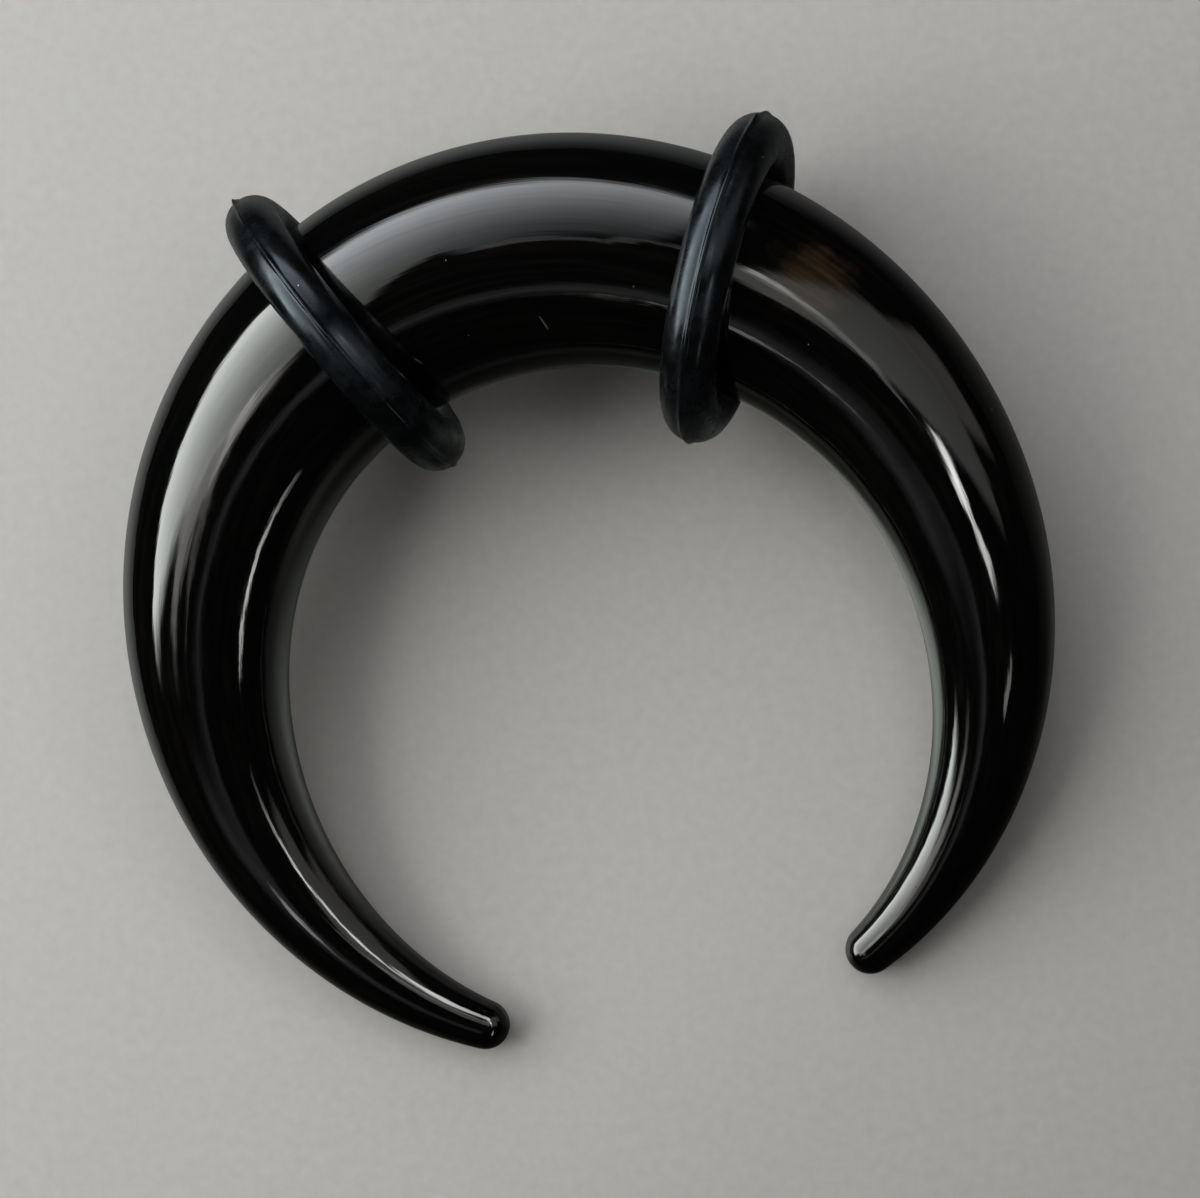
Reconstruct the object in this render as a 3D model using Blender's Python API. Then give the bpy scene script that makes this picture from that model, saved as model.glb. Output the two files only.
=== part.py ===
"""Crescent ear taper of polished buffalo horn, with the two rubber rings that hold it in the lobe.

The horn is one solid piece of round section, thickest in the middle, that bends round in a crescent
and thins to a blunt round nose at both tips. It lies on a flat surface as it would by itself: both
rings and one tip touch it, and the rings hold the thick side up.
X runs across the crescent, Y from the tips to the middle, Z up. The origin is under the middle of
the object's box.
"""
import math
from collections import namedtuple

import bmesh
import bpy
import numpy as np
from mathutils import Matrix, Vector

# The horn
HORN_THICKNESS = 0.0080                # across the middle, a 0 gauge taper
TIP_THICKNESS = 0.0017                 # across each arm where its round nose starts
BEND_RADIUS = 0.01175                  # crescent's centre to the horn's centreline, at the middle
TIP_REACH = 0.0157                     # crescent's centre to the centreline, at each tip
LEFT_SWEEP = math.radians(151.5)       # angle from the middle round to the -X tip
RIGHT_SWEEP = math.radians(157.0)      # angle from the middle round to the +X tip

# The rings
RING_WIRE = 0.0017                     # thickness of the rubber
RING_CLEARANCE = 0.0003                # least gap between a ring and the horn
RING_FLAT = 0.0001                     # how far the rubber is flattened where it bears

# One row for each section of an arm, the middle first
# along: place on the arm, as a share of its sweep
# opening: how far the centreline has left BEND_RADIUS for TIP_REACH
# swell: how much is left of the difference between HORN_THICKNESS and TIP_THICKNESS
Section = namedtuple("Section", "along opening swell")
SECTIONS = (
    Section(0.000, 0.000, 1.000),
    Section(0.125, 0.026, 0.973),
    Section(0.250, 0.072, 0.920),
    Section(0.375, 0.150, 0.797),
    Section(0.500, 0.303, 0.684),
    Section(0.625, 0.460, 0.545),
    Section(0.750, 0.658, 0.358),
    Section(0.875, 0.860, 0.186),
    Section(1.000, 1.000, 0.000),
)

# One row for each ring
# along: place on its arm, as a share of the arm's sweep, minus towards -X
# turn: swing from square to the horn, in the crescent's plane
# lean: swing out of the crescent's plane
Ring = namedtuple("Ring", "name along turn lean")
RINGS = (
    Ring("o_ring_left", -0.173, math.radians(0.5), math.radians(-10.5)),
    Ring("o_ring_right", 0.263, math.radians(9.5), math.radians(3.0)),
)

# Fineness of the meshes
ARM_STEPS = 40                         # sections along each arm
HORN_SIDES = 24                        # sides round the horn
NOSE_STEPS = 4                         # sections over each round nose
RING_STEPS = 40                        # sections round a ring
RING_SIDES = 12                        # sides round the rubber
FIT_STEPS = 400                        # samples along each arm that a ring is fitted to
SMALL_STEP = 0.0025                    # share of an arm over which directions are measured
REST_ROUNDS = 20                       # rounds in which the resting place settles

NORMAL = Vector((0.0, 0.0, 1.0))       # square to the crescent's plane


def table_value(along, column):
    """Read one column of the section table on a smooth curve through its rows."""
    places = np.array([row.along for row in SECTIONS])
    values = np.array([getattr(row, column) for row in SECTIONS])
    slopes = np.gradient(values, places)
    slopes[0] = 0.0
    row = int(np.clip(np.searchsorted(places, along, side="right") - 1, 0, len(places) - 2))
    width = places[row + 1] - places[row]
    t = (along - places[row]) / width
    start = (1.0 + 2.0 * t) * (1.0 - t) ** 2 * values[row] + t * (1.0 - t) ** 2 * width * slopes[row]
    end = (3.0 - 2.0 * t) * t ** 2 * values[row + 1] + (t - 1.0) * t ** 2 * width * slopes[row + 1]
    return float(start + end)


def centre(along):
    """Point of the horn's centreline, from -1 at the -X tip through 0 in the middle to 1."""
    angle = along * (RIGHT_SWEEP if along > 0.0 else LEFT_SWEEP)
    reach = BEND_RADIUS + (TIP_REACH - BEND_RADIUS) * table_value(abs(along), "opening")
    return Vector((reach * math.sin(angle), reach * math.cos(angle), 0.0))


def radius(along):
    """Half the horn's thickness."""
    return (TIP_THICKNESS + (HORN_THICKNESS - TIP_THICKNESS) * table_value(abs(along), "swell")) / 2.0


def heading(along):
    """Direction of the centreline, from the -X tip towards the +X tip."""
    before = max(along - SMALL_STEP, -1.0)
    after = min(along + SMALL_STEP, 1.0)
    return (centre(after) - centre(before)).normalized()


def circle(middle, facing, size, sides):
    """Points of a circle of radius size about middle, square to facing."""
    across = facing.cross(NORMAL).normalized()
    upward = across.cross(facing)
    turns = [2.0 * math.pi * side / sides for side in range(sides)]
    return [middle + size * (math.cos(turn) * across + math.sin(turn) * upward) for turn in turns]


def tip_ball(side):
    """Centre and radius of the ball that rounds the tip on one side, and the angle it starts at."""
    inner = side * (1.0 - SMALL_STEP)
    fall = (radius(inner) - radius(side)) / (centre(side) - centre(inner)).length
    start = math.atan(fall)
    ball = radius(side) / math.cos(start)
    return centre(side) - side * heading(side) * ball * math.sin(start), ball, start


def nose(side):
    """Sections over the round nose on one side, from the arm outwards, and the nose's last point."""
    middle, ball, start = tip_ball(side)
    outward = side * heading(side)
    sections = []
    for step in range(1, NOSE_STEPS):
        turn = start + (math.pi / 2.0 - start) * step / NOSE_STEPS
        place = middle + outward * ball * math.sin(turn)
        sections.append(circle(place, side * outward, ball * math.cos(turn), HORN_SIDES))
    return sections, middle + outward * ball


def skin(name, sections, ends):
    """Mesh over a row of sections: capped at two end points, or closed on itself with none."""
    shape = bmesh.new()
    rows = [[shape.verts.new(point) for point in section] for section in sections]
    if not ends:
        rows.append(rows[0])
    for row, following in zip(rows, rows[1:]):
        for side in range(len(row)):
            shape.faces.new((row[side - 1], row[side], following[side], following[side - 1]))
    for row, end in zip((rows[0], rows[-1]), ends):
        point = shape.verts.new(end)
        for side in range(len(row)):
            shape.faces.new((row[side - 1], row[side], point))
    bmesh.ops.recalc_face_normals(shape, faces=shape.faces)
    mesh = bpy.data.meshes.new(name)
    shape.to_mesh(mesh)
    shape.free()
    mesh.shade_smooth()
    return mesh


def finish(name, colour, roughness):
    """Plain finish of one material."""
    material = bpy.data.materials.new(name)
    material.use_nodes = True
    surface = material.node_tree.nodes["Principled BSDF"]
    surface.inputs["Base Color"].default_value = (*colour, 1.0)
    surface.inputs["Roughness"].default_value = roughness
    surface.inputs["Metallic"].default_value = 0.0
    return material


def add(name, mesh, material, parent):
    """Put a mesh in the scene as a named object under the resting pose."""
    piece = bpy.data.objects.new(name, mesh)
    mesh.materials.append(material)
    piece.parent = parent
    bpy.context.collection.objects.link(piece)
    return piece


def horn_mesh():
    """The whole horn: both arms, with a round nose on each tip."""
    places = [step / ARM_STEPS for step in range(-ARM_STEPS, ARM_STEPS + 1)]
    arms = [circle(centre(along), heading(along), radius(along), HORN_SIDES) for along in places]
    first, first_end = nose(-1)
    last, last_end = nose(1)
    return skin("taper", first[::-1] + arms + last, (first_end, last_end))


def ring_axis(ring):
    """Axis of a ring's hole: the horn's heading, swung by the ring's turn and lean."""
    turned = Matrix.Rotation(ring.turn, 3, "Z") @ heading(ring.along)
    sideways = turned.cross(NORMAL).normalized()
    return Matrix.Rotation(ring.lean, 3, sideways) @ turned


def ring_radius(ring):
    """Radius of a ring's centre circle: the least that clears the horn, leaning as the ring does."""
    middle = centre(ring.along)
    axis = ring_axis(ring)
    reach = RING_WIRE / 2.0 + RING_CLEARANCE
    largest = 0.0
    for step in range(-FIT_STEPS, FIT_STEPS + 1):
        along = step / FIT_STEPS
        if (centre(along) - middle).length > radius(along) + reach:
            continue
        for point in circle(centre(along), heading(along), radius(along), HORN_SIDES):
            offset = point - middle
            depth = offset.dot(axis)
            if abs(depth) < reach:
                away = (offset - depth * axis).length
                largest = max(largest, away + math.sqrt(reach ** 2 - depth ** 2))
    return largest


def ring_mesh(ring):
    """A rubber ring about its own Z axis."""
    size = ring_radius(ring)
    sections = []
    for step in range(RING_STEPS):
        turn = 2.0 * math.pi * step / RING_STEPS
        outward = Vector((math.cos(turn), math.sin(turn), 0.0))
        facing = Vector((-math.sin(turn), math.cos(turn), 0.0))
        sections.append(circle(outward * size, facing, RING_WIRE / 2.0, RING_SIDES))
    return skin(ring.name, sections, ())


def ring_foot(ring, down):
    """Point of a ring that reaches furthest down, once the rubber is flattened."""
    axis = ring_axis(ring)
    outward = (down - down.dot(axis) * axis).normalized()
    return centre(ring.along) + ring_radius(ring) * outward + (RING_WIRE / 2.0 - RING_FLAT) * down


def tip_foot(side, down):
    """Point of a tip's nose that reaches furthest down."""
    middle, ball, _ = tip_ball(side)
    return middle + ball * down


def resting_plane():
    """Upward normal and a point of the plane that both rings and the lower tip rest on."""
    for side in (-1, 1):
        up = NORMAL.copy()
        for _ in range(REST_ROUNDS):
            left, right = [ring_foot(ring, -up) for ring in RINGS]
            tip = tip_foot(side, -up)
            up = (left - tip).cross(right - tip).normalized()
            if up.dot(NORMAL) < 0.0:
                up = -up
        if (tip_foot(-side, -up) - tip).dot(up) >= 0.0:
            break
    return up, tip


def flatten_foot(piece):
    """Cut a ring off level where it meets the surface it rests on."""
    to_local = piece.matrix_world.inverted()
    shape = bmesh.new()
    shape.from_mesh(piece.data)
    bmesh.ops.bisect_plane(shape, geom=shape.verts[:] + shape.edges[:] + shape.faces[:],
                           plane_co=to_local @ Vector((0.0, 0.0, 0.0)),
                           plane_no=to_local.to_3x3() @ -NORMAL, clear_outer=True)
    rim = [edge for edge in shape.edges if edge.is_boundary]
    sole = bmesh.ops.contextual_create(shape, geom=rim)["faces"]
    for face in sole:
        face.smooth = False
    bmesh.ops.recalc_face_normals(shape, faces=shape.faces)
    shape.to_mesh(piece.data)
    shape.free()


def corners(pieces):
    """Lowest and highest corners of the box round some pieces."""
    points = np.array([piece.matrix_world @ vertex.co for piece in pieces for vertex in piece.data.vertices])
    return points.min(axis=0), points.max(axis=0)


for old in list(bpy.data.objects):
    bpy.data.objects.remove(old)

horn_finish = finish("polished_buffalo_horn", (0.012, 0.011, 0.010), 0.07)
rubber_finish = finish("black_rubber", (0.018, 0.019, 0.021), 0.42)

rest = bpy.data.objects.new("resting_pose", None)
bpy.context.collection.objects.link(rest)

horn = add("taper", horn_mesh(), horn_finish, rest)
rings = []
for row in RINGS:
    o_ring = add(row.name, ring_mesh(row), rubber_finish, rest)
    o_ring.location = centre(row.along)
    o_ring.rotation_mode = "QUATERNION"
    o_ring.rotation_quaternion = NORMAL.rotation_difference(ring_axis(row))
    rings.append(o_ring)

# The whole piece is tipped so that its feet lie level, and set down on z = 0
floor_normal, floor_point = resting_plane()
level = floor_normal.rotation_difference(NORMAL)
rest.rotation_mode = "QUATERNION"
rest.rotation_quaternion = level
rest.location.z = -(level @ floor_point).z
bpy.context.view_layer.update()
for o_ring in rings:
    flatten_foot(o_ring)

low, high = corners([horn] + rings)
rest.location.x -= (low[0] + high[0]) / 2.0
rest.location.y -= (low[1] + high[1]) / 2.0
bpy.context.view_layer.update()
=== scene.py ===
"""Looks of the crescent ear taper: a polished black horn and its two rubber rings, on a pale floor."""
import math
from collections import namedtuple

import bmesh
import bpy
import numpy as np
from mathutils import Matrix, Vector, noise


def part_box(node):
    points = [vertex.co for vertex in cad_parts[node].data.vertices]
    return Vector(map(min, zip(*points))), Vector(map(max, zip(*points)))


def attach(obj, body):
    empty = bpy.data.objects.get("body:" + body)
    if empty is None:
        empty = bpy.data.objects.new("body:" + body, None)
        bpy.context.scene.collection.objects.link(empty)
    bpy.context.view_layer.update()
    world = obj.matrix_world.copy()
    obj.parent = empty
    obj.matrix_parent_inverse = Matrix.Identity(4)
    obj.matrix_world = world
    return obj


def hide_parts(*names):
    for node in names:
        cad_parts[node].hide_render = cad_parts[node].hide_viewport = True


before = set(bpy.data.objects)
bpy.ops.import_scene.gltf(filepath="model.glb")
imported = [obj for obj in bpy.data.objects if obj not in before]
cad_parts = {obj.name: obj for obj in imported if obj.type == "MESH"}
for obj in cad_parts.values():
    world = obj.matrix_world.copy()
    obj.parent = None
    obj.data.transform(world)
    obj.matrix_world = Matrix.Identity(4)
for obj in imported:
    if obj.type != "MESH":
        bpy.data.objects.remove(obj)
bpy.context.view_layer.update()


# The horn
# One piece of water buffalo horn from the solid black point of the horn, sawn and filed to a round
# section that thins from the middle to two blunt tips, then sanded and buffed to a mirror gloss.
# It lies tipped, because the rings hold its thick side up.

HORN_THICKNESS = 0.0080                # across the middle, a 0 gauge taper
TIP_THICKNESS = 0.0017                 # across each arm where its round nose starts
BEND_RADIUS = 0.01175                  # crescent's centre to the horn's centreline, at the middle
TIP_REACH = 0.0157                     # crescent's centre to the centreline, at each tip
LEFT_SWEEP = math.radians(151.5)       # angle from the middle round to the -X tip
RIGHT_SWEEP = math.radians(157.0)      # angle from the middle round to the +X tip
ARM_STEPS = 240                        # sections along each arm
HORN_SIDES = 96                        # sides round the horn
NOSE_STEPS = 14                        # sections over each round nose
SMALL_STEP = 0.0025                    # share of an arm over which directions are measured
DIGITS = 7                             # decimals of a metre that tell two points apart
POLISHED_SHARE = 0.9993                # of the sawn size that is left after sanding and buffing
UP = Vector((0.0, 0.0, 1.0))

# One row for each section of an arm, the middle first
# along: place on the arm, as a share of its sweep
# opening: how far the centreline has left BEND_RADIUS for TIP_REACH
# swell: how much is left of the difference between HORN_THICKNESS and TIP_THICKNESS
Section = namedtuple("Section", "along opening swell")
SECTIONS = (
    Section(0.000, 0.000, 1.000),
    Section(0.125, 0.026, 0.973),
    Section(0.250, 0.072, 0.920),
    Section(0.375, 0.150, 0.797),
    Section(0.500, 0.303, 0.684),
    Section(0.625, 0.460, 0.545),
    Section(0.750, 0.658, 0.358),
    Section(0.875, 0.860, 0.186),
    Section(1.000, 1.000, 0.000),
)
FAIRING_POWERS = (2, 3, 4, 5, 6)       # terms of the fair curve through a column: level at the middle


def faired(column):
    """Coefficients of a smooth curve through one column of the table, exact at its two ends."""
    places = np.array([row.along for row in SECTIONS])
    values = np.array([getattr(row, column) for row in SECTIONS])
    start, end = values[0], values[-1]
    terms = np.array([places ** power - places ** FAIRING_POWERS[0] for power in FAIRING_POWERS[1:]]).T
    rest = values - start - (end - start) * places ** FAIRING_POWERS[0]
    weights = np.linalg.lstsq(terms, rest, rcond=None)[0]
    return start, end - start - weights.sum(), weights


OPENING = faired("opening")
SWELL = faired("swell")


def table_value(along, curve):
    """Height of a faired curve at one place on an arm."""
    start, first, weights = curve
    value = start + first * along ** FAIRING_POWERS[0]
    return float(value + sum(weight * along ** power for weight, power in zip(weights, FAIRING_POWERS[1:])))


def centre(along):
    """Point of the horn's centreline, from -1 at the -X tip through 0 in the middle to 1."""
    angle = along * (RIGHT_SWEEP if along > 0.0 else LEFT_SWEEP)
    reach = BEND_RADIUS + (TIP_REACH - BEND_RADIUS) * table_value(abs(along), OPENING)
    return Vector((reach * math.sin(angle), reach * math.cos(angle), 0.0))


def radius(along):
    """Half the horn's thickness."""
    return (TIP_THICKNESS + (HORN_THICKNESS - TIP_THICKNESS) * table_value(abs(along), SWELL)) / 2.0


def heading(along):
    """Direction of the centreline, from the -X tip towards the +X tip."""
    before = max(along - SMALL_STEP, -1.0)
    after = min(along + SMALL_STEP, 1.0)
    return (centre(after) - centre(before)).normalized()


def horn_sections():
    """Places, directions and radii of the horn's sections, tip to tip, with the noses' own sections."""
    places = [step / ARM_STEPS for step in range(-ARM_STEPS, ARM_STEPS + 1)]
    arms = [(centre(along), heading(along), radius(along)) for along in places]
    noses = []
    for side in (-1, 1):
        inner = side * (1.0 - SMALL_STEP)
        fall = (radius(inner) - radius(side)) / (centre(side) - centre(inner)).length
        start = math.atan(fall)
        ball = radius(side) / math.cos(start)
        outward = side * heading(side)
        middle = centre(side) - outward * ball * math.sin(start)
        nose = []
        for step in range(1, NOSE_STEPS + 1):
            turn = start + (math.pi / 2.0 - start) * step / NOSE_STEPS
            nose.append((middle + outward * ball * math.sin(turn), side * outward, ball * math.cos(turn)))
        noses.append(nose)
    return noses[0][::-1] + arms + noses[1]


def circle(middle, facing, size, sides):
    """Points of a circle of radius size about middle, square to facing."""
    across = facing.cross(UP).normalized()
    upward = across.cross(facing)
    turns = [2.0 * math.pi * side / sides for side in range(sides)]
    return [middle + size * (math.cos(turn) * across + math.sin(turn) * upward) for turn in turns]


def skin(name, rows, laid_out=(), closed=False):
    """Smooth mesh over rows of points. laid_out holds each point's place in the unbent piece."""
    shape = bmesh.new()
    unbent = shape.verts.layers.float_vector.new("unbent")
    made = [[shape.verts.new(point) for point in row] for row in rows]
    for row, places in zip(made, laid_out):
        for vertex, place in zip(row, places):
            vertex[unbent] = place
    if closed:
        made.append(made[0])
    for row, following in zip(made, made[1:]):
        for side in range(len(row)):
            shape.faces.new((row[side - 1], row[side], following[side], following[side - 1]))
    bmesh.ops.remove_doubles(shape, verts=shape.verts, dist=10.0 ** -DIGITS)
    bmesh.ops.recalc_face_normals(shape, faces=shape.faces)
    mesh = bpy.data.meshes.new(name)
    shape.to_mesh(mesh)
    shape.free()
    mesh.shade_smooth()
    piece = bpy.data.objects.new(name, mesh)
    bpy.context.scene.collection.objects.link(piece)
    return piece


def horn_rows():
    """Rows of points of the horn, and each point's place in it if it were straight along X.

    There the horn's middle is at X = 0, and the outer side of the bend is towards +Y.
    """
    sections = horn_sections()
    middles = [middle for middle, facing, size in sections]
    steps = [(after - before).length for before, after in zip(middles, middles[1:])]
    halfway = sum(steps[:len(steps) // 2])
    rows = []
    laid_out = []
    for number, (middle, facing, size) in enumerate(sections):
        unbent = Vector((sum(steps[:number]) - halfway, 0.0, 0.0))
        rows.append(circle(middle, facing, size, HORN_SIDES))
        laid_out.append(circle(unbent, Vector((1.0, 0.0, 0.0)), size, HORN_SIDES))
    return rows, laid_out


def crescent_tilt():
    """Turn that tips the crescent as it rests: square to its plane, the horn's points spread least."""
    points = np.array([vertex.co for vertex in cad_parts["taper"].data.vertices])
    points = np.unique(points.round(DIGITS), axis=0)
    spread = np.linalg.svd(points - points.mean(axis=0), full_matrices=False)[2]
    normal = Vector(spread[2])
    return UP.rotation_difference(normal if normal.z > 0.0 else -normal)


horn = skin("horn", *horn_rows())
tilt = crescent_tilt().to_matrix().to_4x4()
horn.data.transform(tilt @ Matrix.Scale(POLISHED_SHARE, 4))
points = np.array([vertex.co for vertex in horn.data.vertices])
taper_low, taper_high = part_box("taper")
shift = (taper_low + taper_high - Vector(points.min(axis=0)) - Vector(points.max(axis=0))) / 2.0
horn.data.transform(Matrix.Translation(shift))
resting = Matrix.Translation(shift) @ tilt     # lays any piece of the crescent where it rests


def srgb(code):
    """Linear colour of an sRGB hex code."""
    shares = [int(code[place:place + 2], 16) / 255.0 for place in (1, 3, 5)]
    linear = [share / 12.92 if share <= 0.04045 else ((share + 0.055) / 1.055) ** 2.4 for share in shares]
    return (*linear, 1.0)


def add_node(tree, kind, sockets, give=None, **settings):
    """Add a node. sockets gives each input a value or the output it is linked to; give names its output."""
    made = tree.nodes.new(kind)
    for name, value in settings.items():
        setattr(made, name, value)
    for name, value in sockets.items():
        socket = next(s for s in made.inputs if name in (s.identifier, s.name))
        if isinstance(value, bpy.types.NodeSocket):
            tree.links.new(value, socket)
        else:
            socket.default_value = value
    return next(s for s in made.outputs if give in (None, s.identifier, s.name))


HORN_IOR = 1.55                        # of keratin
HORN_BLACK = "#020202"
HORN_FIBRE = "#070605"                 # the paler fibres in the black
HORN_BROWN = "#2e2317"                 # where the horn is less dark
HORN_DUST = "#48484b"                  # and of the nick, which has dust in it
FIBRE_LENGTH = 0.009                   # of a streak of fibres, along the horn
FIBRE_WIDTH = 0.00022                  # really a tenth of this, drawn this coarse so that it shows
FIBRE_RELIEF = 0.0000042               # how far the harder fibres stand proud of the polish
PALE_FROM, PALE_TO = 0.45, 0.75        # levels of the fibres' noise between which they turn pale
WAVE = 0.0028                          # length of the low waves that hand sanding leaves
WAVE_RELIEF = 0.000019
CALM_FROM, CALM_TO = 0.012, 0.028      # distance from the middle over which the waves get lower
CALM = 0.25                            # share of the waves that is left near the tips
SMUDGE = 0.0025                        # size of the patches where the polish is duller
SMUDGE_FROM, SMUDGE_TO = 0.35, 0.7     # levels of their noise between which it turns duller
GLOSSY, DULLER = 0.035, 0.085          # roughness outside and inside the patches
DUST_SPACING = 0.0013
DUST_SIZE = 0.00003
DUST_CORE = 0.6                        # share of a speck's size inside its soft edge
DUST_ROUGHNESS = 0.4                   # added on the dust and in the nick
BROWN_PATCH = Vector((0.0112, 0.0020, 0.0029))     # beside the right ring, in the unbent horn
BROWN_SIZE = 0.0019
BROWN_LUMP = 0.00076                   # size of the lumps that make its edge ragged
BROWN_EDGE, BROWN_FULL = 1.35, 0.65    # where it ends and where it is full, as shares of its size
BROWN_BETWEEN = 0.35                   # share of the brown that shows between the fibres
NICK = (Vector((0.00253, -0.00167, 0.00363)), Vector((0.00276, -0.00217, 0.00336)))
NICK_WIDTH = 0.00005


def near_line(tree, place, start, end, width):
    """Mask that is 1 along the line from start to end and falls to 0 at width to each side."""
    axis = (end - start).normalized()
    offset = add_node(tree, "ShaderNodeVectorMath", {"Vector": place, "Vector_001": (start + end) / 2.0},
                      operation="SUBTRACT")
    along = add_node(tree, "ShaderNodeVectorMath", {"Vector": offset, "Vector_001": axis}, give="Value",
                     operation="DOT_PRODUCT")
    reach = (end - start).length / 2.0
    along = add_node(tree, "ShaderNodeClamp", {"Value": along, "Min": -reach, "Max": reach})
    nearest = add_node(tree, "ShaderNodeVectorMath", {"Vector": axis, "Scale": along}, operation="SCALE")
    away = add_node(tree, "ShaderNodeVectorMath", {"Vector": offset, "Vector_001": nearest}, give="Value",
                    operation="DISTANCE")
    return add_node(tree, "ShaderNodeMapRange", {"Value": away, "From Min": width, "From Max": 0.0},
                    interpolation_type="SMOOTHSTEP")


def dust(tree, place, spacing, size):
    """Mask that is 1 on scattered specks of dust."""
    away = add_node(tree, "ShaderNodeTexVoronoi", {"Vector": place, "Scale": 1.0 / spacing}, give="Distance")
    edge = size / spacing
    return add_node(tree, "ShaderNodeMapRange",
                    {"Value": away, "From Min": edge, "From Max": DUST_CORE * edge})


def blank_material(name):
    """New material, its node tree and its surface shader."""
    material = bpy.data.materials.new(name)
    material.use_nodes = True
    return material, material.node_tree, material.node_tree.nodes["Principled BSDF"]


def polished_buffalo_horn():
    """Black keratin, sanded, then buffed on a mop.

    The eye gets a deep gloss that mirrors the lights a little wavily, over fine brown-black fibres
    that run lengthwise, with one browner patch, a nick and a few specks of dust.
    """
    material, tree, surface = blank_material("polished_buffalo_horn")
    surface.inputs["IOR"].default_value = HORN_IOR
    place = add_node(tree, "ShaderNodeAttribute", {}, give="Vector", attribute_name="unbent")
    drawn_out = (1.0 / FIBRE_LENGTH, 1.0 / FIBRE_WIDTH, 1.0 / FIBRE_WIDTH)
    lengthwise = add_node(tree, "ShaderNodeMapping", {"Vector": place, "Scale": drawn_out})
    fibres = add_node(tree, "ShaderNodeTexNoise", {"Vector": lengthwise, "Scale": 1.0, "Detail": 3.0})
    pale = add_node(tree, "ShaderNodeMapRange",
                    {"Value": fibres, "From Min": PALE_FROM, "From Max": PALE_TO})
    colour = add_node(tree, "ShaderNodeMix",
                      {"Factor_Float": pale, "A_Color": srgb(HORN_BLACK), "B_Color": srgb(HORN_FIBRE)},
                      give="Result_Color", data_type="RGBA")

    cloud = add_node(tree, "ShaderNodeTexNoise", {"Vector": place, "Scale": 1.0 / BROWN_LUMP, "Detail": 3.0})
    away = add_node(tree, "ShaderNodeVectorMath", {"Vector": place, "Vector_001": BROWN_PATCH}, give="Value",
                    operation="DISTANCE")
    ragged = add_node(tree, "ShaderNodeMath", {"Value": cloud, "Value_001": BROWN_SIZE, "Value_002": away},
                      operation="MULTIPLY_ADD")
    brown = add_node(tree, "ShaderNodeMapRange",
                     {"Value": ragged, "From Min": BROWN_EDGE * BROWN_SIZE,
                      "From Max": BROWN_FULL * BROWN_SIZE}, interpolation_type="SMOOTHSTEP")
    grain = add_node(tree, "ShaderNodeMapRange", {"Value": pale, "To Min": BROWN_BETWEEN, "To Max": 1.0})
    brown = add_node(tree, "ShaderNodeMath", {"Value": brown, "Value_001": grain}, operation="MULTIPLY")
    colour = add_node(tree, "ShaderNodeMix",
                      {"Factor_Float": brown, "A_Color": colour, "B_Color": srgb(HORN_BROWN)},
                      give="Result_Color", data_type="RGBA")

    nick = near_line(tree, place, *NICK, NICK_WIDTH)
    specks = dust(tree, place, DUST_SPACING, DUST_SIZE)
    marks = add_node(tree, "ShaderNodeMath", {"Value": nick, "Value_001": specks}, operation="MAXIMUM")
    colour = add_node(tree, "ShaderNodeMix",
                      {"Factor_Float": marks, "A_Color": colour, "B_Color": srgb(HORN_DUST)},
                      give="Result_Color", data_type="RGBA")
    tree.links.new(colour, surface.inputs["Base Color"])

    smudges = add_node(tree, "ShaderNodeTexNoise", {"Vector": place, "Scale": 1.0 / SMUDGE, "Detail": 4.0})
    rough = add_node(tree, "ShaderNodeMapRange",
                     {"Value": smudges, "From Min": SMUDGE_FROM, "From Max": SMUDGE_TO,
                      "To Min": GLOSSY, "To Max": DULLER})
    rough = add_node(tree, "ShaderNodeMath",
                     {"Value": marks, "Value_001": DUST_ROUGHNESS, "Value_002": rough},
                     operation="MULTIPLY_ADD")
    tree.links.new(rough, surface.inputs["Roughness"])

    along = add_node(tree, "ShaderNodeSeparateXYZ", {"Vector": place}, give="X")
    along = add_node(tree, "ShaderNodeMath", {"Value": along}, operation="ABSOLUTE")
    calm = add_node(tree, "ShaderNodeMapRange", {"Value": along, "From Min": CALM_FROM, "From Max": CALM_TO,
                                                 "To Min": 1.0, "To Max": CALM})
    waves = add_node(tree, "ShaderNodeTexNoise", {"Vector": place, "Scale": 1.0 / WAVE, "Detail": 2.0})
    waves = add_node(tree, "ShaderNodeMath", {"Value": waves, "Value_001": calm}, operation="MULTIPLY")
    normal = add_node(tree, "ShaderNodeBump", {"Height": waves, "Distance": WAVE_RELIEF})
    normal = add_node(tree, "ShaderNodeBump", {"Height": fibres, "Distance": FIBRE_RELIEF, "Normal": normal})
    normal = add_node(tree, "ShaderNodeBump",
                      {"Height": marks, "Distance": NICK_WIDTH / 2.0, "Normal": normal})
    tree.links.new(normal, surface.inputs["Normal"])
    return material


horn.data.materials.append(polished_buffalo_horn())
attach(horn, "root")
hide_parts("taper")


# The two O-rings
# Black nitrile rubber, moulded in two halves, so a thin flash runs round the outside of each.
# They are stretched over the arms and grip the horn on both sides of the part worn in the lobe.

RING_WIRE = 0.0019                     # thickness of the rubber
RING_GAP = 0.00002                     # clear space between the rubber and the horn
RING_STEPS = 240                       # sections round a ring
RING_SIDES = 64                        # sides round the rubber
SIDES_AT_FLASH = 0.8                   # how much closer together the sides are at the flash
FLASH_HEIGHT = 0.00007                 # how far the flash stands out of the rubber
FLASH_WIDTH = 0.00013                  # its width at half height
FLASH_TEAR = 0.0007                    # length of the uneven stretches along the flash
FLASH_UNEVEN = 0.7                     # share of its height by which the flash varies
NUB_HEIGHT = 0.00012                   # stub of rubber where the mould was filled
NUB_LENGTH = 0.0005

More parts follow.
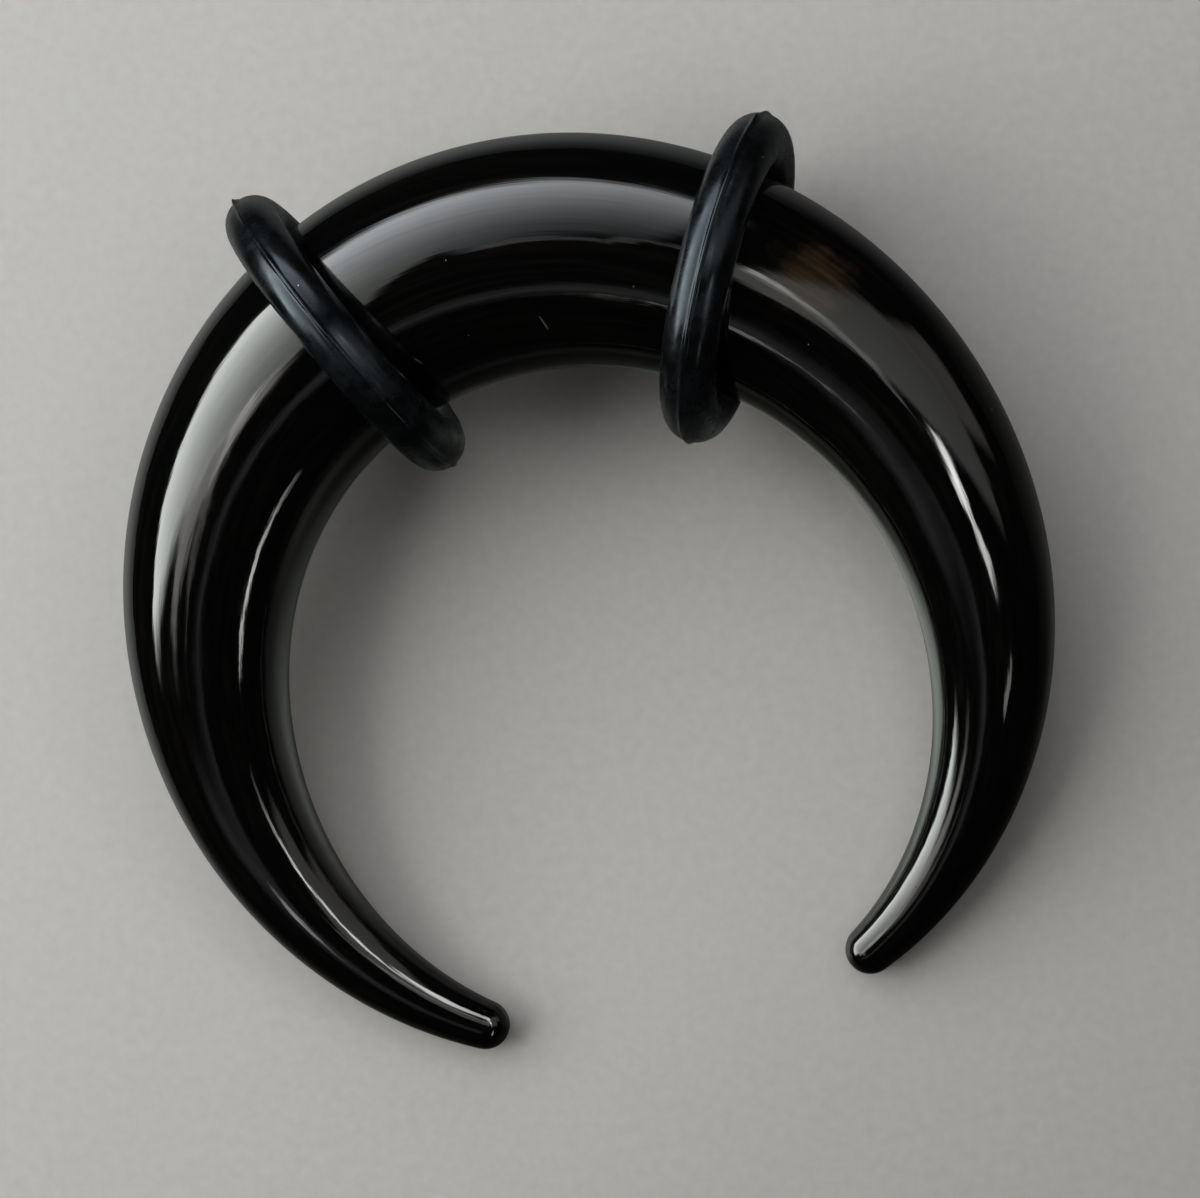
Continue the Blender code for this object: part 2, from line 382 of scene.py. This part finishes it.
# One row for each ring
# along: place on its arm, as a share of the arm's sweep, minus towards -X
# turn: swing from square to the horn, in the crescent's plane, in degrees
# lean: swing out of the crescent's plane, in degrees
# nub: where the stub of rubber is, in degrees round the ring from the inside of the bend
Ring = namedtuple("Ring", "name node along turn lean nub")
RINGS = (
    Ring("rubber_ring_left", "o_ring_left", -0.173, 0.5, -10.5, 188.0),
    Ring("rubber_ring_right", "o_ring_right", 0.263, 9.5, 3.0, 188.0),
)


def ring_axis(ring):
    """Axis of a ring's hole: the horn's heading, swung by the ring's turn and lean."""
    turned = Matrix.Rotation(math.radians(ring.turn), 3, "Z") @ heading(ring.along)
    sideways = turned.cross(UP).normalized()
    return Matrix.Rotation(math.radians(ring.lean), 3, sideways) @ turned


def ring_reach(middle, outward, grip):
    """How far out the rubber's centre lies in one direction, to grip the horn there."""
    reach = 0.0
    for place, size in grip:
        offset = middle - place
        clear = size + RING_WIRE / 2.0 + RING_GAP
        sideways = offset.dot(outward)
        left_over = sideways ** 2 - offset.length_squared + clear ** 2
        if left_over > 0.0:
            reach = max(reach, math.sqrt(left_over) - sideways)
    return reach


def bell(offset, width):
    """Height of a bell curve, 1 in its middle, with width at half its height."""
    return math.exp(-math.log(2.0) * (2.0 * offset / width) ** 2)


def ring_rows(ring):
    """Rows of points round one ring, which grips the horn's sections near it."""
    middle = centre(ring.along)
    axis = ring_axis(ring)
    across = axis.cross(UP).normalized()
    upward = axis.cross(across)
    places = [step / ARM_STEPS for step in range(-ARM_STEPS, ARM_STEPS + 1)]
    grip = [(centre(along), radius(along)) for along in places]
    grip = [(place, size) for place, size in grip if (place - middle).length < HORN_THICKNESS]
    rows = []
    for step in range(RING_STEPS):
        turn = 2.0 * math.pi * step / RING_STEPS
        outward = math.cos(turn) * across + math.sin(turn) * upward
        reach = ring_reach(middle, outward, grip)
        tear = 1.0 + FLASH_UNEVEN * noise.noise(outward * reach / FLASH_TEAR)
        from_nub = math.remainder(turn - math.radians(ring.nub), 2.0 * math.pi) * reach
        crest = FLASH_HEIGHT * tear + NUB_HEIGHT * bell(from_nub, NUB_LENGTH)
        row = []
        for side in range(RING_SIDES):
            even = 2.0 * math.pi * side / RING_SIDES
            angle = even - SIDES_AT_FLASH * math.sin(even)
            from_flash = math.remainder(angle, 2.0 * math.pi) * RING_WIRE / 2.0
            size = RING_WIRE / 2.0 + crest * bell(from_flash, FLASH_WIDTH)
            row.append(middle + outward * (reach + size * math.cos(angle)) + axis * size * math.sin(angle))
        rows.append(row)
    return rows


RUBBER_IOR = 1.52                      # of nitrile rubber
RUBBER_BLACK = "#040404"
RUBBER_BLOOM = "#0b0d0f"               # wax that has come to the surface, a bluish bloom
RUBBER_DUST = "#9a9a98"
RUBBER_SHEEN = "#bccbd8"               # the bloom colours what the rubber mirrors
BLOOM_SIZE = 0.0011                    # of a patch of bloom
BLOOM_FROM, BLOOM_TO = 0.38, 0.68      # levels of its noise between which it thickens
CLEAN, BLOOMED = 0.19, 0.37            # roughness of the bare rubber and of the bloom
RUBBER_DUST_SPACING = 0.00095
MOULD_GRAIN = 0.00007                  # of the spark-eroded mould, twice its real size so that it shows
MOULD_RELIEF = 0.0000014
STRETCH = 0.0014                       # length of the low waves in the stretched rubber
STRETCH_RELIEF = 0.000009


def moulded_nitrile_rubber():
    """Black nitrile rubber as it leaves a spark-eroded mould, stretched over the horn.

    It is satin. The eye gets soft bluish streaks of light, broken by the grain and by patches of
    bloom, with a dull line at the flash and some caught dust.
    """
    material, tree, surface = blank_material("moulded_nitrile_rubber")
    surface.inputs["IOR"].default_value = RUBBER_IOR
    surface.inputs["Specular Tint"].default_value = srgb(RUBBER_SHEEN)
    place = add_node(tree, "ShaderNodeTexCoord", {}, give="Object")
    bloom = add_node(tree, "ShaderNodeTexNoise", {"Vector": place, "Scale": 1.0 / BLOOM_SIZE, "Detail": 5.0,
                                                  "Roughness": 0.65})
    dull = add_node(tree, "ShaderNodeMapRange",
                    {"Value": bloom, "From Min": BLOOM_FROM, "From Max": BLOOM_TO})
    colour = add_node(tree, "ShaderNodeMix",
                      {"Factor_Float": dull, "A_Color": srgb(RUBBER_BLACK), "B_Color": srgb(RUBBER_BLOOM)},
                      give="Result_Color", data_type="RGBA")
    specks = dust(tree, place, RUBBER_DUST_SPACING, DUST_SIZE)
    colour = add_node(tree, "ShaderNodeMix",
                      {"Factor_Float": specks, "A_Color": colour, "B_Color": srgb(RUBBER_DUST)},
                      give="Result_Color", data_type="RGBA")
    tree.links.new(colour, surface.inputs["Base Color"])
    rough = add_node(tree, "ShaderNodeMapRange", {"Value": dull, "To Min": CLEAN, "To Max": BLOOMED})
    tree.links.new(rough, surface.inputs["Roughness"])
    grain = add_node(tree, "ShaderNodeTexNoise", {"Vector": place, "Scale": 1.0 / MOULD_GRAIN, "Detail": 2.0})
    waves = add_node(tree, "ShaderNodeTexNoise", {"Vector": place, "Scale": 1.0 / STRETCH, "Detail": 1.0})
    normal = add_node(tree, "ShaderNodeBump", {"Height": waves, "Distance": STRETCH_RELIEF})
    normal = add_node(tree, "ShaderNodeBump", {"Height": grain, "Distance": MOULD_RELIEF, "Normal": normal})
    tree.links.new(normal, surface.inputs["Normal"])
    return material


rubber = moulded_nitrile_rubber()
for ring in RINGS:
    o_ring = skin(ring.name, ring_rows(ring), closed=True)
    o_ring.data.transform(resting)
    # the rubber is pressed flat where it bears on the floor
    for vertex in o_ring.data.vertices:
        vertex.co.z = max(vertex.co.z, 0.0)
    o_ring.data.materials.append(rubber)
    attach(o_ring, "root")
    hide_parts(ring.node)


# The floor
# A plain pale sheet of satin zinc, laid under the piece. Zinc seen at the low angles from which the
# horn mirrors it shows the dark studio, so a darker twin of the sheet stands in for it there.

FLOOR_SIZE = 3.0
MIRRORED_SIZE = 0.062                  # the horn mirrors the sheet only this far round the piece
MIRRORED_BELOW = 0.0001                # how far the twin lies under the sheet
FLOOR_SIDES = 96
GRAIN = 0.0004                         # size of the sheet's grain
FINE, COARSE = 0.40, 0.46              # roughness in the grain's hollows and on its crests
FLOOR_METALLIC = 0.7                   # the sheet's oxide hides part of the metal
MIRRORED_METALLIC = 1.0
ZINC_DARK, ZINC_LIGHT = "#9b9897", "#a7a4a1"
MIRRORED_DARK, MIRRORED_LIGHT = "#595957", "#61615f"

# One row for each change of colour of the mirrored sheet, from its middle outwards, all painted light and
# shade:
# a painted pool of light just inside the bend, painted shade under the horn, and a painted fall-off of light
# towards the sheet's edge
# start, full: distance from the middle at which the colour starts and is full
Zone = namedtuple("Zone", "start full colour")
MIRRORED_PAINTED_LIGHT_AND_SHADE = (
    Zone(0.0038, 0.0062, "#919591"),
    Zone(0.0090, 0.0125, "#5d5d5b"),
    Zone(0.0190, 0.0310, "#000000"),
)


def satin_zinc(name, dark, light, metallic, painted_zones=()):
    """Pale grey zinc, etched matt: soft reflections, and a grain too faint to read as a pattern."""
    material, tree, surface = blank_material(name)
    surface.inputs["Metallic"].default_value = metallic
    place = add_node(tree, "ShaderNodeTexCoord", {}, give="Object")
    grain = add_node(tree, "ShaderNodeTexNoise", {"Vector": place, "Scale": 1.0 / GRAIN, "Detail": 3.0})
    colour = add_node(tree, "ShaderNodeMix",
                      {"Factor_Float": grain, "A_Color": srgb(dark), "B_Color": srgb(light)},
                      give="Result_Color", data_type="RGBA")
    away = add_node(tree, "ShaderNodeVectorMath", {"Vector": place}, give="Value", operation="LENGTH")
    # the zones paint light and shade onto the sheet's colour, by distance from its middle
    for zone in painted_zones:
        share = add_node(tree, "ShaderNodeMapRange",
                         {"Value": away, "From Min": zone.start, "From Max": zone.full},
                         interpolation_type="SMOOTHSTEP")
        colour = add_node(tree, "ShaderNodeMix",
                          {"Factor_Float": share, "A_Color": colour, "B_Color": srgb(zone.colour)},
                          give="Result_Color", data_type="RGBA")
    tree.links.new(colour, surface.inputs["Base Color"])
    rough = add_node(tree, "ShaderNodeMapRange", {"Value": grain, "To Min": FINE, "To Max": COARSE})
    tree.links.new(rough, surface.inputs["Roughness"])
    return material


def sheet(name, size, material):
    """Round flat sheet on the ground, which casts no shadow."""
    shape = bmesh.new()
    bmesh.ops.create_circle(shape, cap_ends=True, segments=FLOOR_SIDES, radius=size / 2.0)
    mesh = bpy.data.meshes.new(name)
    shape.to_mesh(mesh)
    shape.free()
    mesh.materials.append(material)
    made = bpy.data.objects.new(name, mesh)
    bpy.context.scene.collection.objects.link(made)
    made.visible_shadow = False
    return made


pale_zinc = satin_zinc("satin_zinc", ZINC_DARK, ZINC_LIGHT, FLOOR_METALLIC)
floor = sheet("floor", FLOOR_SIZE, pale_zinc)
floor.visible_glossy = False
dark_zinc = satin_zinc("satin_zinc_mirrored", MIRRORED_DARK, MIRRORED_LIGHT, MIRRORED_METALLIC,
                       MIRRORED_PAINTED_LIGHT_AND_SHADE)
mirrored = sheet("floor_mirrored", MIRRORED_SIZE, dark_zinc)
mirrored.location.z = -MIRRORED_BELOW
mirrored.visible_camera = False
mirrored.visible_diffuse = False


# The camera
# It looks down from nearly overhead, leaning a little to the picture's right, with a long lens from
# 25 cm away, so the crescent shows almost undistorted as it lies.

VIEW_DISTANCE = 0.25
VIEW_ROLL = math.radians(14.27)        # the crescent's middle is turned this far in the picture
VIEW_LEAN = 0.22                       # how far the camera leans towards the picture's right
FOCAL_LENGTH = 220.8                   # in millimetres
SENSOR_WIDTH = 36.0                    # in millimetres
NEAREST, FARTHEST = 0.01, 10.0         # what the camera shows, in metres from it
AIM = Vector((0.0, 0.0, 0.004))
AIM_RIGHT = 0.00087                    # the picture's middle, right of and below the aimed point
AIM_BELOW = 0.00068

camera_data = bpy.data.cameras.new("camera")
camera_data.lens = FOCAL_LENGTH
camera_data.sensor_width = SENSOR_WIDTH
camera_data.clip_start = NEAREST
camera_data.clip_end = FARTHEST
camera = bpy.data.objects.new("camera", camera_data)
bpy.context.scene.collection.objects.link(camera)
picture_right = Vector((math.cos(VIEW_ROLL), -math.sin(VIEW_ROLL), 0.0))
backward = (VIEW_LEAN * picture_right + UP).normalized()
camera_right = (picture_right - picture_right.dot(backward) * backward).normalized()
camera_up = backward.cross(camera_right)
camera.rotation_mode = "QUATERNION"
camera.rotation_quaternion = Matrix((camera_right, camera_up, backward)).transposed().to_quaternion()
camera.location = AIM + VIEW_DISTANCE * backward + AIM_RIGHT * camera_right - AIM_BELOW * camera_up
bpy.context.scene.camera = camera


# The lights
# Softboxes stand round the piece and the rest of the studio is dark, so the horn mirrors them as long
# highlights with black between. The two widest stand at the picture's left and top, and the thin bright
# lines come from small lights close to the horn, whose grids keep them off the rest.

DARK_STUDIO = 0.007                    # light of the studio between the softboxes
WATTS = 4.0                            # power of a softbox's square metre that is as bright as 1
EDGE_POINTS = 9                        # points along a softbox at which its edges are measured
STUDIO_REACH = 0.6                     # distance of a softbox from the piece, unless its row says another
NO_GRID = 180.0                        # spread of a softbox without a grid, in degrees
MIDDLE = Vector((0.0, 0.0, 0.0))
LEFT_TIP = resting @ centre(-0.85)
LEFT_ARM = resting @ centre(-0.5)
RIGHT_ARM = resting @ centre(0.5)
RING_SIDE = resting @ centre(0.33)

# One row for each softbox, as seen from the point that it faces
# left, right: its two ends, in degrees anticlockwise from the picture's right
# low, high: its lower and upper edge at the left end, in degrees above the floor
# climb: how much higher its right end is, in degrees
# bottom, top: its brightness at its lower and upper edge
# fall: how fast the brightness falls from the lower edge, 1 evenly and 2 faster at first
# fade: its brightness at its right end, as a share of that at its left
# side_blur, blur: width of its soft edges, in degrees
# faces, away: the point that it faces, and its distance from there in metres
# spread: how wide its grid lets it shine, in degrees
Softbox = namedtuple("Softbox", "name left right low high climb bottom top fall fade side_blur blur colour "
                                "faces away spread", defaults=(MIDDLE, STUDIO_REACH, NO_GRID))
SOFTBOXES = (
    Softbox("left_wall", 208, 145, 16.5, 70, 0, 9.5, 0.8, 1.6, 1.0, 10, 3, "#f8fdf8"),
    Softbox("left_return", 226, 198, 38, 61, 3, 1.6, 1.6, 1, 1.6, 8, 5, "#fbf8f4"),
    Softbox("left_strip", 242, 200, 50, 55, 4, 0.5, 0.5, 1, 4.0, 3, 2, "#fbf8f4"),
    Softbox("top_wall", 155, 62, 17, 80, 0, 8.0, 0.4, 1.9, 0.45, 10, 9, "#f5f9fd"),
    Softbox("overhead_left", 158, 92, 71, 77.5, 7, 0.45, 0.45, 1, 1.0, 3, 3, "#fbfaff"),
    Softbox("overhead_top", 92, 40, 78, 84.5, -12, 0.45, 0.45, 1, 1.0, 1, 3, "#fbfaff"),
    Softbox("overhead_right", 40, -20, 64, 71, -6, 0.7, 1.0, 1, 1.0, 3, 3, "#fbfbf9"),
    Softbox("right_fill", 44, -10, 18, 80, 0, 0.4, 0.8, 1, 1.0, 8, 4, "#f9fbf7"),
    Softbox("right_low", 38, 10, -3, 23, 0, 0.4, 0.4, 1, 1.0, 6, 5, "#fff8ee"),
    Softbox("right_streak", -9, -43, 49.5, 57.8, -1, 15, 15, 1, 0.9, 6, 3, "#fffefa", RIGHT_ARM, 0.04, 42),
    Softbox("streak_tail", -34, -46, 41, 53, -2, 8.0, 14.0, 1, 0.8, 3, 4, "#fffefa", RIGHT_ARM, 0.04, 42),
    Softbox("dim_return", 276, 226, 49, 67, -25, 0.26, 0.26, 1, 1.0, 12, 11, "#eef1f7"),
    Softbox("right_line", -40, -56, 25.5, 29.5, 3, 2.9, 2.9, 1, 1.0, 3, 1, "#fffefa", RIGHT_ARM, 0.05, 36),
    Softbox("left_line", -31, -56, 20.2, 25, -10, 7.5, 7.5, 1, 1.0, 2, 1, "#fffefa", LEFT_ARM, 0.05, 42),
    Softbox("tip_line_near", 50, 24, 43, 57, 0, 12.0, 12.0, 1, 0.7, 2, 3, "#fffefa", LEFT_TIP, 0.06, 42),
    Softbox("tip_line", 24, 4, 48.5, 55.5, -7.5, 8.0, 8.0, 1, 1.4, 1, 1.5, "#fffefa", LEFT_TIP, 0.06, 42),
    Softbox("tip_line_far", 4, -16, 43.2, 47.8, -5, 11.0, 11.0, 1, 0.1, 1, 1, "#fffefa", LEFT_TIP, 0.06, 42),
    Softbox("tip_low_line", 263, 252, 50.5, 54, -5, 3.0, 3.0, 1, 1.5, 2, 1, "#fffefa", LEFT_TIP, 0.12, 16),
    Softbox("ring_line", 258, 252, 42, 46, 0, 2.5, 2.5, 1, 0.3, 2, 1, "#fffefa", RING_SIDE, 0.12, 12),
    Softbox("floor_fill", 60, -60, 45, 80, 0, 1.5, 1.5, 1, 1.0, 20, 10, "#fffdf9", MIDDLE, 0.3),
    Softbox("floor_key", 150, 50, 40, 80, 0, 2.05, 2.05, 1, 1.0, 20, 10, "#fffdf9", MIDDLE, 0.35),
)


def direction(bearing, height):
    """Unit vector at a bearing and a height, in degrees."""
    turn = math.radians(bearing) - VIEW_ROLL
    level = Vector((math.cos(turn), math.sin(turn), 0.0))
    return math.cos(math.radians(height)) * level + math.sin(math.radians(height)) * UP


def softbox_reach(row, facing):
    """How far a softbox reaches to each side and up and down, as shares of its distance."""
    aside = 0.0
    upward = 0.0
    for step in range(EDGE_POINTS):
        share = step / (EDGE_POINTS - 1)
        bearing = row.left + (row.right - row.left) * share
        for height in (row.low, row.high):
            edge = facing.inverted() @ direction(bearing, height + row.climb * share)
            aside = max(aside, abs(edge.x / edge.z))
            upward = max(upward, abs(edge.y / edge.z))
    return aside, upward


def softbox_brightness(tree, row, bearing):
    """Brightness of each point of a softbox, by its direction as seen from the point it faces."""
    # the point's direction, turned so that the softbox's middle lies along X
    place = add_node(tree, "ShaderNodeNewGeometry", {}, give="Position")
    place = add_node(tree, "ShaderNodeVectorMath", {"Vector": place, "Vector_001": row.faces},
                     operation="SUBTRACT")
    place = add_node(tree, "ShaderNodeVectorMath", {"Vector": place}, operation="NORMALIZE")
    place = add_node(tree, "ShaderNodeVectorRotate",
                     {"Vector": place, "Angle": VIEW_ROLL - math.radians(bearing)}, rotation_type="Z_AXIS")
    forward, aside, upward = (add_node(tree, "ShaderNodeSeparateXYZ", {"Vector": place}, give=axis)
                              for axis in "XYZ")
    turned = add_node(tree, "ShaderNodeMath", {"Value": aside, "Value_001": forward}, operation="ARCTAN2")
    height = add_node(tree, "ShaderNodeMath", {"Value": upward}, operation="ARCSINE")

    # how far across the softbox the point is, from its left end, and how far up it
    half = math.radians(row.left - row.right) / 2.0
    across = add_node(tree, "ShaderNodeMapRange", {"Value": turned, "From Min": half, "From Max": -half})
    levelled = add_node(tree, "ShaderNodeMath",
                        {"Value": across, "Value_001": -math.radians(row.climb), "Value_002": height},
                        operation="MULTIPLY_ADD")
    rise = add_node(tree, "ShaderNodeMapRange",
                    {"Value": levelled, "From Min": math.radians(row.low),
                     "From Max": math.radians(row.high)}, clamp=False)

    # the fade to the right end, the soft edges, and the fall from the lower edge to the upper
    brightness = add_node(tree, "ShaderNodeMapRange", {"Value": across, "To Min": 1.0, "To Max": row.fade},
                          interpolation_type="SMOOTHSTEP")
    ends = (across, row.side_blur / (row.left - row.right))
    edges = (rise, row.blur / (row.high - row.low))
    for share, blur in (ends, edges):
        off = add_node(tree, "ShaderNodeMath", {"Value": share, "Value_001": 0.5}, operation="SUBTRACT")
        off = add_node(tree, "ShaderNodeMath", {"Value": off}, operation="ABSOLUTE")
        inside = add_node(tree, "ShaderNodeMapRange",
                          {"Value": off, "From Min": 0.5, "From Max": 0.5 - blur},
                          interpolation_type="SMOOTHSTEP")
        brightness = add_node(tree, "ShaderNodeMath", {"Value": inside, "Value_001": brightness},
                              operation="MULTIPLY")
    left_over = add_node(tree, "ShaderNodeMath", {"Value": 1.0, "Value_001": rise}, operation="SUBTRACT",
                         use_clamp=True)
    fall = add_node(tree, "ShaderNodeMath", {"Value": left_over, "Value_001": row.fall}, operation="POWER")
    level = add_node(tree, "ShaderNodeMapRange", {"Value": fall, "To Min": row.top, "To Max": row.bottom})
    return add_node(tree, "ShaderNodeMath", {"Value": level, "Value_001": brightness}, operation="MULTIPLY")


def softbox(row):
    """Area light for one row, just large enough for its edges."""
    bearing = (row.left + row.right) / 2.0
    outward = direction(bearing, (row.low + row.high + row.climb) / 2.0)
    sideways = UP.cross(outward).normalized()
    facing = Matrix((sideways, outward.cross(sideways), outward)).transposed()
    aside, upward = softbox_reach(row, facing)
    lamp = bpy.data.lights.new(row.name, "AREA")
    lamp.shape = "RECTANGLE"
    lamp.size = 2.0 * row.away * aside
    lamp.size_y = 2.0 * row.away * upward
    lamp.spread = math.radians(row.spread)
    lamp.energy = WATTS * lamp.size * lamp.size_y
    if row.spread < NO_GRID:
        # Blender squeezes a lamp's whole power through its grid, and a real grid stops part of it
        grid = math.tan(lamp.spread / 2.0)
        lamp.energy *= (grid - lamp.spread / 2.0) / grid
    lamp.color = srgb(row.colour)[:3]
    lamp.use_nodes = True
    brightness = softbox_brightness(lamp.node_tree, row, bearing)
    lamp.node_tree.links.new(brightness, lamp.node_tree.nodes["Emission"].inputs["Strength"])

    stand = bpy.data.objects.new(row.name, lamp)
    bpy.context.scene.collection.objects.link(stand)
    stand.rotation_mode = "QUATERNION"
    stand.rotation_quaternion = facing.to_quaternion()
    stand.location = row.faces + row.away * outward
    stand.visible_camera = False


for row in SOFTBOXES:
    softbox(row)
# these two light the floor, and the horn doesn't mirror them
bpy.data.objects["floor_fill"].visible_glossy = False
bpy.data.objects["floor_key"].visible_glossy = False

world = bpy.data.worlds.new("studio")
world.use_nodes = True
background = world.node_tree.nodes["Background"]
background.inputs["Color"].default_value = (DARK_STUDIO, DARK_STUDIO, DARK_STUDIO, 1.0)
bpy.context.scene.world = world
bpy.context.scene.view_settings.view_transform = "Standard"
